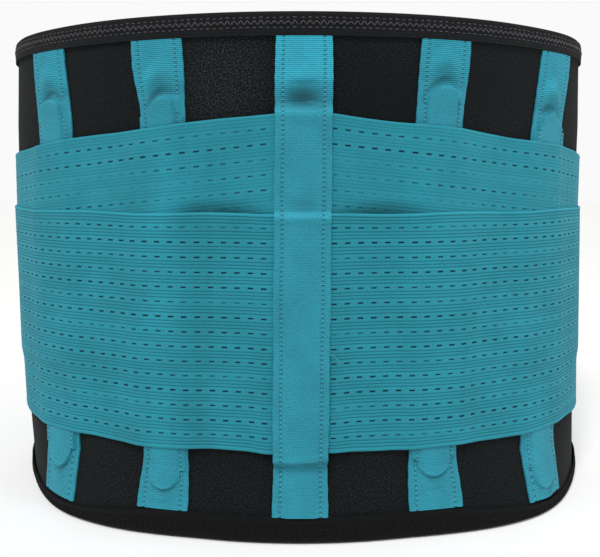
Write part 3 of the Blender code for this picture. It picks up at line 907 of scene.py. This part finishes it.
class Channel:
    """Shape of one boning tape: u runs across it from its centre line, z up."""

    def __init__(self, name, centre, drift, skew, pinch, half):
        self.name = name
        self.centre = centre
        self.drift = drift
        self.skew = skew
        self.pinch = pinch
        self.half = half
        self.top = heights(name.replace("channel", "stay") + "_top_tip")[1] + STAY_ROOM

    def lean(self, u, z):
        """Place along the belt: channels stray from upright, and spread towards the top."""
        spread = 0.05 * smooth((z - 175 * MM) / (55 * MM))
        low, high = self.drift
        # The tape is drawn in where it comes out from under the straps
        drawn = np.where(u < 0, self.pinch[0], self.pinch[1]) * smooth((214 * MM - z) / (24 * MM))
        drawn = drawn * (z > 150 * MM) + self.pinch[2] * hump((z - 42 * MM) / (27 * MM))
        return u * (1 - drawn) + self.centre * (1 + spread) + low + (high - low) * z / TOP_Z

    def lowered(self, z):
        """Draws the tape's foot down to the narrowed binding at the belt's sides."""
        drop = FOOT_DROP if abs(self.centre) > CHANNEL_S[0] else 0.0
        return z - drop * (1 - smooth((z - TAPE_Z[0]) / FOOT_LENGTH))

    def sewn(self, u):
        """What the seams and the tape's thin edges take off its height."""
        far = np.abs(u)
        seam = 0.32 * MM * hump((far - SEAM_U) / (1.0 * MM))
        return seam + 0.35 * MM * smooth((far - self.half + 0.8 * MM) / (0.8 * MM))

    def stay_ends(self, u):
        """Heights of the rounded ends of the stay under the tape."""
        far = np.abs(u) / SLEEVE_HALF
        arch = 4.0 * MM * np.clip(far, 0, 1) ** 2
        top = self.top + self.skew * u * (1 - far * 0.3) - arch
        return top, self.top - STAY_LENGTH - 1.0 * MM + arch

    def tone(self, u, z):
        """Painted light on the yarn: brighter above the stay, a painted highlight on the stay's ends and
        painted shade in the creases beside them.
        """
        top, foot = self.stay_ends(u)
        above = 1.0 + 0.20 * smooth((z - top - 3 * MM) / (12 * MM))
        return above + marked(z - top, u, TOP_PAINTED_LIGHT) + marked(z - foot, u, FOOT_PAINTED_LIGHT)

    def surface(self, u, z):
        """Outer face of the tape, with its stay's rounded ends pressing through."""
        top, foot = self.stay_ends(u)
        filled = smooth((top - z) / (1.5 * MM) + 0.5) * smooth((z - foot) / (1.6 * MM) + 0.5)
        across = 1 - smooth((np.abs(u) / SLEEVE_HALF - 0.88) / 0.24)
        lean_out = np.exp(-np.clip(top - z, 0, None) / (11 * MM))
        t = 0.95 * MM + filled * across * (1.45 + 1.5 * lean_out) * MM
        folds = marked(z - top, u, TOP_FOLDS) + marked(z - foot, u, FOOT_FOLDS)
        t = t + MM * ((1 - filled) * folds + marked(z - top, u, BILLOW))
        t = t - self.sewn(u) + 0.16 * MM * wander(self.centre + u, z, 7)
        # However the tape slackens, it never sinks below the stay itself
        far = np.abs(self.lean(u, z) - self.lean(0 * u, z))
        reach = np.clip(far / STAY_HALF, 0, 1)
        end = STAY_HALF * (1 - np.sqrt(1 - reach * reach))
        tip = self.top - STAY_ROOM - end
        foot = tip - STAY_LENGTH + 2 * end
        over = smooth((tip - z) / (0.8 * MM) + 1.4) * smooth((z - foot) / (0.8 * MM) + 1.4)
        over = over * (1 - smooth((far - STAY_HALF - 1.6 * MM) / (0.9 * MM)))
        # The sway carries the tape towards the stay on one side of the belt
        side_share = SWAY_SHARE * smooth((abs(self.centre) - 60 * MM) / (60 * MM))
        carried = np.clip(-math.copysign(side_share, self.centre) * np.interp(z, SWAY_Z, SWAY), 0, None)
        return np.maximum(t, (STAY_COVER + carried) * over)


class SpineChannel(Channel):
    """The centre tape: it lies over the straps, and steps down above and below them."""

    def tone(self, u, z):
        # Painted light: the centre tape is brighter towards its top, with the painted light and shade of its
        # table
        return 1.0 + 0.54 * smooth((z - 193 * MM) / (14 * MM)) + marked(z, u, SPINE_PAINTED_LIGHT)

    def surface(self, u, z):
        far = np.abs(u)
        t = np.interp(z, SPINE_Z, SPINE_T) + MM * marked(z, u, SPINE_FOLDS)
        # It stands on its stay up to the upper strap's edge, and is sunk in the gap above that
        t = t + 0.55 * MM * (1 - smooth((far - 5.6 * MM) / (2.6 * MM))) * (z < 192.4 * MM)
        sunk = smooth((z - 192.0 * MM) / (2.2 * MM)) * (1 - smooth((z - 201.5 * MM) / (3.5 * MM)))
        t = t - 1.8 * MM * sunk * (1 - smooth((far - 3.0 * MM) / (5.2 * MM)))
        return t - self.sewn(u) + 0.16 * MM * wander(u, z, 2)


# Each channel's place along the belt, how far its lower and upper ends stray, its stay end's slant, and
# the shares by which its tape is drawn in: its left and right halves at the top, and both at the foot
CHANNELS = {
    "inner_channel_left": (-CHANNEL_S[0], (0.0, 1.9 * MM), 0.45, (0.20, 0.08, 0.11)),
    "inner_channel_right": (CHANNEL_S[0], (-1.6 * MM, 0.2 * MM), 0.12, (0.02, 0.06, 0.08)),
    "outer_channel_left": (-CHANNEL_S[1], (-1.3 * MM, 0.6 * MM), 0.15, (0.02, 0.0, 0.02)),
    "outer_channel_right": (CHANNEL_S[1], (-2.5 * MM, 7.5 * MM), -0.45, (0.04, 0.10, 0.0)),
}
SPINE_DRIFT = (-0.1 * MM, 2.0 * MM)


class BELT_OT_channels(Operator):
    """Sews the five grosgrain boning channels, with the stays' ends pressing through them"""

    bl_idname = "belt.channels"
    bl_label = "Boning Channels"

    def execute(self, context):
        sizes = context.scene.belt_sizes
        ring = Ring(sizes)
        tape = use_material("ribbed_grosgrain")
        thread = use_material("teal_polyester_thread")
        pitch = sizes.tape_rib_pitch
        stitch = sizes.stitch_length
        half = sizes.tape_width / 2
        across = sorted({sign * u * MM for u in TAPE_COLUMNS for sign in (-1, 1)})
        channels = [SpineChannel("spine_channel", 0.0, SPINE_DRIFT, 0.0, (0, 0, 0), half)]
        channels += [Channel(name, *shape, half) for name, shape in CHANNELS.items()]
        for channel in channels:
            name = channel.name
            fine = pitch / 4
            if channel.centre == 0:
                rows = steps_between(*TAPE_Z, fine)
            else:
                # Coarser where the straps hide it
                shown_from = upper_edge(channel.centre) - 14 * MM
                rows = steps_between(TAPE_Z[0], LOWER_STRAP_Z + 6 * MM, fine)
                rows += steps_between(rows[-1], shown_from, 2.5 * MM)[1:]
                rows += steps_between(rows[-1], TAPE_Z[1], fine)[1:]
            bm = cloth_grid(across, rows)
            back_it(bm, 0.5 * MM, 8, steps_between(*TAPE_Z, 4 * MM)[1:-1])

            def place(flat, channel=channel):
                u, depth, z = flat.T
                rib = tape_rib(z, pitch, channel.top)
                picot = 0.14 * MM * (rib - 0.5) * (np.abs(u) > half - 0.1 * MM)
                wavy = 1 + 0.006 * np.sin(z * 900) + 0.012 * np.sin(z * 130 + channel.centre * 90)
                s = channel.lean((u + np.sign(u) * picot) * wavy, z)
                ribs = sizes.tape_rib_height * rib * (depth == 0)
                t = np.maximum(channel.surface(u, z) + ribs - depth - 0.2 * MM * (depth > 0), 0.05 * MM)
                return ring.wrap(s, t, channel.lowered(z), False)

            def marks(flat, channel=channel):
                u, _, z = flat.T
                between = smooth(-0.2 - 1.6 * np.cos(z * 2 * math.pi / stitch))
                hole = 0.6 * hump((np.abs(u) - SEAM_U) / (1.0 * MM)) * between
                return {"rib": tape_rib(z, pitch, channel.top), "slot": hole, "tone": channel.tone(u, z)}

            piece = to_piece(name + "_tape", bm, place, tape, marks)
            declare((name,))
            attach(piece, "back")
            seams = self.seams(name + "_stitches", channel, stitch, sizes.thread_width, ring, thread)
            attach(seams, "back")
        self.loose_end(ring, thread)
        return {"FINISHED"}

    def loose_end(self, ring, thread):
        """A trimmed thread end that stands out beside the centre tape."""
        spots = []
        for i in range(9):
            place = ((12.6 + 0.55 * i) * MM, (-5.2 - 0.12 * i) * MM, (83.6 - 0.06 * i * i) * MM)
            spots.append(laid(place, (0.42 * MM, 0.14 * MM, 0.14 * MM), 0.12 * i))
        place = ring.lay(1, lambda s, z: 0 * s)
        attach(to_piece("loose_thread", scatter(bead(), spots), place, thread, sharp=180), "back")

    def seams(self, name, channel, stitch, width, ring, thread):
        """A row of lock stitches up each edge of the tape."""
        spots = []
        for u in (-SEAM_U, SEAM_U):
            for i in range(int(TAPE_Z[0] / stitch) + 1, int(TAPE_Z[1] / stitch)):
                turn = 0.12 * math.sin(i * 2.1 + u)
                spots.append(laid((u, 0, i * stitch), (width / 2, 0.28 * MM, 0.34 * stitch), turn))
        bm = scatter(bead(), spots)

        def place(flat):
            u, depth, z = flat.T
            t = channel.surface(u, z) + 0.22 * MM - depth
            return ring.wrap(channel.lean(u, z), t, channel.lowered(z), False)

        return to_piece(name, bm, place, thread, sharp=180)


# Elastic straps

# Heights of one weave repeat's lines above its row of slots, in sixteenths of the repeat, and how
# raised the yarn is at each: a flat band that holds the slots, then three grooves with two ribs between
WEAVE = (
    (0.0, 0.75),
    (1.2, 0.75),
    (3.2, 1.0),
    (4.5, 0.0),
    (5.35, 0.65),
    (6.2, 0.95),
    (7.1, 0.65),
    (8.0, 0.0),
    (8.9, 0.65),
    (9.8, 0.95),
    (10.65, 0.65),
    (11.5, 0.0),
    (12.8, 1.0),
    (14.8, 0.75),
    (16.0, 0.75),
)


def strap_rows(repeat):
    """Heights of the strap's rows of vertices, lined up with its weave."""
    rows = {0.0, 0.35 * MM, STRAP_WIDTH - 0.35 * MM, STRAP_WIDTH}
    for i in range(-1, int(STRAP_WIDTH / repeat) + 1):
        for share, _ in WEAVE[:-1]:
            height = first_slot_row(repeat) + (i + share / 16) * repeat
            if 0.6 * MM < height < STRAP_WIDTH - 0.6 * MM:
                rows.add(height)
    return sorted(rows)


def first_slot_row(repeat):
    """Height of the lowest row of slots, counted down from the highest."""
    return (STRAP_WIDTH - TOP_SLOT_ROW) % repeat


def strap_marks(flat, sizes, level):
    """Rib, slot and painted light of the webbing at each flat point."""
    s, _, height = flat.T
    repeat = sizes.weave_repeat
    along = (height - first_slot_row(repeat)) / repeat % 1
    rib = np.interp(along * 16, *zip(*WEAVE))
    in_row = np.minimum(along, 1 - along) < 0.02
    inside = (height > 4 * MM) & (height < STRAP_WIDTH - 4 * MM)
    place = (np.abs(s) - slot_shift(s)) % sizes.slot_pitch
    in_slot = (place > 0.15 * MM) & (place < sizes.slot_length - 0.15 * MM)
    # Slots are pulled open to a different degree in each row, and less in the upper strap
    row = np.round((height - first_slot_row(repeat)) / repeat)
    open_by = 0.66 + 0.20 * np.sin(row * 2.6 + 9 * np.sign(s)) + 0.16 * np.sin(row * 1.3 + s * 60)
    if level == "upper":
        from_top = STRAP_WIDTH - height
        open_by = open_by - 0.36 * smooth((from_top - 9 * MM) / (16 * MM))
        rib = 0.72 + (rib - 0.72) * 0.55
    slot = (in_row & inside & in_slot) * np.clip(open_by, 0.2, 1.0)
    return {"rib": rib, "slot": slot, "tone": strap_painted_light(s, height, level)}


def strap_painted_light(s, height, level):
    """Painted light on the webbing: painted highlights along its selvedge and over a channel, and painted
    shade where the upper strap is tucked in.
    """
    if level == "lower":
        # Painted highlight along the lower strap's top selvedge, and painted light and shade beside the
        # channels
        tone = 1 + 0.22 * hump((height - STRAP_WIDTH) / (1.6 * MM))
        tone = tone + 0.09 * hump((s + 64 * MM) / (11 * MM)) - 0.08 * hump((s + 46 * MM) / (11 * MM))
        return tone + 0.05 * hump((s - 66 * MM) / (12 * MM))
    z = upper_edge(s) - STRAP_WIDTH + height
    # Painted highlight along the upper strap's top edge, and painted shadow where it dives behind the lower
    # strap
    tone = 1 + 0.12 * hump((height - STRAP_WIDTH) / (1.4 * MM)) - 0.40 * tucked(s, z)
    # Painted highlight over the left inner channel, with painted shade beside it
    below_edge = smooth((STRAP_WIDTH - height - 6 * MM) / (10 * MM))
    return tone + below_edge * (0.13 * hump((s + 60 * MM) / (9 * MM)) - 0.07 * hump((s + 76 * MM) / (9 * MM)))


def slot_shift(s):
    """Where the slots' pattern starts on each side of the spine."""
    return np.where(np.asarray(s) < 0, 2.4 * MM, 1.4 * MM)


# The strap's two cuts, and the heights at which its plain inner face follows its bends
PARTS = (("back", STRAP_START, STRAP_SPLIT), ("front", STRAP_SPLIT, STRAP_END))
STRAP_CUTS = [v * MM for v in (12, 24, 36, 48, 60, 72, 82, 90, 95, 99, 103)]


class BELT_OT_straps(Operator):
    """Weaves the four elastic straps, ribbed and slotted, each in two pieces that meet at the wing"""

    bl_idname = "belt.straps"
    bl_label = "Elastic Straps"

    def execute(self, context):
        sizes = context.scene.belt_sizes
        ring = Ring(sizes)
        webbing = use_material("woven_elastic_webbing")
        rows = strap_rows(sizes.weave_repeat)
        for side, word in SIDES:
            for level, surface in (("upper", upper_strap_t), ("lower", lower_strap_t)):
                for part, low, high in PARTS:
                    columns = sorted(side * c for c in self.columns(side, low, high, sizes))
                    bm = cloth_grid(columns, rows)
                    back_it(bm, STRAP_THICK, 6, STRAP_CUTS)
                    place = self.place_on(ring, level, surface, side, sizes)
                    marks = lambda flat, level=level: strap_marks(flat, sizes, level)
                    name = level + "_strap_" + part + "_" + word
                    piece = to_piece(name, bm, place, webbing, marks)
                    if part == "back":
                        nodes = (level + "_elastic_back_" + word, level + "_elastic_side_" + word)
                        ring.bend_at_wing(piece, side)
                    else:
                        nodes = (level + "_elastic_end_" + word,)
                        ring.bend(piece, side, PEEL_HINGE)
                    declare(nodes)
        return {"FINISHED"}

    def columns(self, side, low, high, sizes):
        """Columns at both ends and at each slot's corners."""
        places = {round(low, 6), round(high, 6)}
        shift = float(slot_shift(side))
        pitch, length = sizes.slot_pitch, sizes.slot_length
        for i in range(int(low / pitch) - 1, int(high / pitch) + 1):
            start = i * pitch + shift
            end = start + length
            for place in (start, start + 0.3 * MM, end - 0.3 * MM, end):
                if low + 0.2 * MM < place < high - 0.2 * MM:
                    places.add(round(place, 6))
        return places

    def place_on(self, ring, level, surface, side, sizes):
        def place(flat):
            s, depth, height = flat.T
            z = height + (upper_edge(s) - STRAP_WIDTH if level == "upper" else LOWER_STRAP_Z)
            found = strap_marks(flat, sizes, level)
            edge = np.minimum(height, STRAP_WIDTH - height)
            relief = sizes.rib_height * (found["rib"] - 0.5) - sizes.slot_depth * found["slot"]
            relief = relief + 0.14 * MM * hump((edge - 0.7 * MM) / (0.8 * MM))
            relief = relief * (depth == 0) * smooth(edge / (0.5 * MM)) - 0.2 * MM * (edge < 0.1 * MM)
            wavy = 0.35 * MM * np.sin(s * 95 + side) * hump(edge / (12 * MM))
            return ring.wrap(s, surface(s, z) + relief - depth, z + wavy, side < 0)

        return place

# Strap ends and front closure


def rounded_patch(along, up, corner, thickness):
    """A flat patch with rounded corners, closed behind."""
    bm = cloth_grid(steps_between(*along, 2 * MM), steps_between(*up, 2 * MM))
    middle = Vector((sum(along) / 2, 0, sum(up) / 2))
    half = Vector(((along[1] - along[0]) / 2, 0, (up[1] - up[0]) / 2))
    for v in bm.verts:
        away = v.co - middle
        over = Vector((abs(away.x) - half.x + corner, 0, abs(away.z) - half.z + corner))
        if over.x > 0 and over.z > 0:
            over *= max(over.x, over.z) / over.length
            v.co.x = middle.x + math.copysign(half.x - corner + over.x, away.x)
            v.co.z = middle.z + math.copysign(half.z - corner + over.z, away.z)
    back_it(bm, thickness, 3)
    return bm


class BELT_OT_closures(Operator):
    """Makes the strap tabs, their hook pads and the front closure's hook panel"""

    bl_idname = "belt.closures"
    bl_label = "Closures"

    def execute(self, context):
        ring = Ring(context.scene.belt_sizes)
        for side, word in SIDES:
            body = word + "_strap"
            along = sorted((side * TAB_S[0], side * TAB_S[1]))
            bm = rounded_patch(along, TAB_Z, 12 * MM, 0.7 * MM)
            tab = to_piece("strap_tab_cloth_" + word, bm, ring.lay(side, tab_t), use_material("tab_twill"))
            declare(("strap_tab_" + word,))
            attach(tab, body)
            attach(self.box_seam("strap_tab_stitches_" + word, ring, side, along), body)

            along = sorted((side * PAD_S[0], side * PAD_S[1]))
            names = ("hook_pad_" + word, "hook_pad_hooks_" + word, "strap_hook_pad_" + word)
            self.hook_tape(names, ring, side, along, PAD_Z, PAD_T, 6 * MM, "shell_" + word, body)

        end = -(ring.wing_end - PANEL_INSET)
        along = (end, end + PANEL_WIDTH)
        names = ("closure_hook_tape", "closure_hooks", "closure_hook_panel")
        self.hook_tape(names, ring, -1, along, PANEL_Z, PANEL_T, 4 * MM, "lining_left", "left_wing")
        return {"FINISHED"}

    def hook_tape(self, names, ring, side, along, up, base, corner, under, body):
        """A patch of hook tape and its hooks: names gives the tape's, the hooks' and the node's."""
        material = use_material("moulded_hook_tape")
        bm = rounded_patch(along, up, corner, 0.9 * MM)
        tape = to_piece(names[0], bm, ring.lay(side, lambda s, z: base + 0 * s), material)
        declare(names[2:])
        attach(tape, body)
        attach(self.hooks(names[1], ring, side, along, up, base, material), body)

    def hooks(self, name, ring, side, along, up, base, material):
        """Rows of little moulded hooks that point inward."""
        hook = bmesh.new()
        turn = Matrix.Rotation(math.pi / 2, 4, "X")
        sizes = {"radius1": 0.55 * MM, "radius2": 0.28 * MM, "depth": 0.8 * MM}
        bmesh.ops.create_cone(hook, cap_ends=True, segments=5, matrix=turn, **sizes)
        spots = [
            Matrix.Translation((s, 0.4 * MM, z))
            for z in steps_between(up[0] + 4 * MM, up[1] - 4 * MM, 2.6 * MM)
            for s in steps_between(along[0] + 3 * MM, along[1] - 3 * MM, 2.2 * MM)
        ]
        place = ring.lay(side, lambda s, z: base - HOOK_PROUD + 0 * s)
        return to_piece(name, scatter(hook, spots), place, material)

    def box_seam(self, name, ring, side, along):
        """Lock stitches round the tab, 3.5 mm in from its edge."""
        inset, corner, step = 3.5 * MM, 9.5 * MM, 3 * MM
        thin, long = 0.24 * MM, 1.15 * MM
        spots = []
        for s in (along[0] + inset, along[1] - inset):
            for z in steps_between(TAB_Z[0] + corner, TAB_Z[1] - corner, step):
                spots.append(laid((s, 0, z), (thin, thin, long)))
        for z in (TAB_Z[0] + inset, TAB_Z[1] - inset):
            for s in steps_between(along[0] + corner, along[1] - corner, step):
                spots.append(laid((s, 0, z), (long, thin, thin)))
        place = ring.lay(side, lambda s, z: tab_t(s, z) + 0.1 * MM)
        thread = use_material("black_polyester_thread")
        return to_piece(name, scatter(bead(), spots), place, thread, sharp=180)


class BELT_OT_stays(Operator):
    """Gives the flat stays and their dipped tips their finish"""

    bl_idname = "belt.stays"
    bl_label = "Stays"

    def execute(self, context):
        for name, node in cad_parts.items():
            if "_stay" in name:
                finish = "dipped_vinyl" if name.endswith("_tip") else "rolled_spring_steel"
                for slot in node.material_slots:
                    slot.material = use_material(finish)
        return {"FINISHED"}


# Stage


class BELT_OT_stage(Operator):
    """Sets the pale floor, the soft lights and the camera"""

    bl_idname = "belt.stage"
    bl_label = "Stage"

    def execute(self, context):
        scene = context.scene
        bm = bmesh.new()
        bmesh.ops.create_circle(bm, cap_ends=True, segments=96, radius=4.0)
        mesh = bpy.data.meshes.new("studio_floor")
        bm.to_mesh(mesh)
        bm.free()
        mesh.materials.append(use_material("painted_floor"))
        floor = bpy.data.objects.new("studio_floor", mesh)
        floor.location.z = FLOOR_Z - 0.3 * MM
        scene.collection.objects.link(floor)

        world = bpy.data.worlds.new("studio")
        world.use_nodes = True
        tree = world.node_tree
        tree.nodes.clear()
        seen = add_node(tree, "ShaderNodeLightPath")
        # The backdrop looks white, but lights the belt more gently
        levels = {"Value": seen.outputs["Is Camera Ray"], "To Min": 0.44, "To Max": 0.955}
        glow = add_node(tree, "ShaderNodeMapRange", None, levels)
        white = {"Color": (1.0, 1.0, 1.0, 1.0), "Strength": glow.outputs["Result"]}
        sky = add_node(tree, "ShaderNodeBackground", None, white)
        add_node(tree, "ShaderNodeOutputWorld", None, {"Surface": sky.outputs["Background"]})
        scene.world = world
        scene.view_settings.view_transform = "Standard"

        sun = bpy.data.lights.new("overhead_softbox", "SUN")
        sun.energy = 2.5
        sun.angle = math.radians(22)
        self.link(scene, sun, (0, 0, 0), Vector((0.22, 0.72, -1.0)))

        for name, place, energy in (
            ("right_softbox", (0.75, -0.30, 0.30), 2.2),
            ("left_softbox", (-0.75, -0.30, 0.30), 1.2),
        ):
            light = bpy.data.lights.new(name, "AREA")
            light.size = 0.5
            light.energy = energy
            self.link(scene, light, place, Vector((0, 0, 0.12)) - Vector(place))

        camera = bpy.data.cameras.new("camera")
        camera.sensor_width = 36.0
        camera.lens = 39.4
        camera.shift_y = -0.172
        camera.clip_start = 0.01
        scene.camera = self.link(scene, camera, (0.0, -0.3866, 0.1619), Vector((0, 1, 0)))
        return {"FINISHED"}

    def link(self, scene, data, place, towards):
        """Adds a lamp or a camera that looks in the given direction."""
        thing = bpy.data.objects.new(data.name, data)
        thing.location = place
        thing.rotation_euler = towards.to_track_quat("-Z", "Y").to_euler()
        scene.collection.objects.link(thing)
        return thing


class BELT_PT_panel(Panel):
    """Sidebar panel with the belt's sizes, colours and build steps"""

    bl_idname = "BELT_PT_panel"
    bl_label = "Lumbar Support Belt"
    bl_space_type = "VIEW_3D"
    bl_region_type = "UI"
    bl_category = "Belt"

    def draw(self, context):
        layout = self.layout
        for group in (context.scene.belt_sizes, context.scene.belt_colours):
            column = layout.column(align=True)
            for name in group.__annotations__:
                column.prop(group, name)
        column = layout.column(align=True)
        for step in STEPS:
            column.operator(step.bl_idname)


STEPS = (
    BELT_OT_shell,
    BELT_OT_binding,
    BELT_OT_channels,
    BELT_OT_straps,
    BELT_OT_closures,
    BELT_OT_stays,
    BELT_OT_stage,
)
CLASSES = (BeltSizes, BeltColours, *STEPS, BELT_PT_panel)


def register():
    for cls in CLASSES:
        bpy.utils.register_class(cls)
    bpy.types.Scene.belt_sizes = PointerProperty(type=BeltSizes)
    bpy.types.Scene.belt_colours = PointerProperty(type=BeltColours)


def unregister():
    del bpy.types.Scene.belt_colours
    del bpy.types.Scene.belt_sizes
    for cls in reversed(CLASSES):
        bpy.utils.unregister_class(cls)


def main():
    register()
    bpy.ops.belt.shell()
    bpy.ops.belt.binding()
    bpy.ops.belt.channels()
    bpy.ops.belt.straps()
    bpy.ops.belt.closures()
    bpy.ops.belt.stays()
    bpy.ops.belt.stage()


if __name__ == "__main__":
    main()
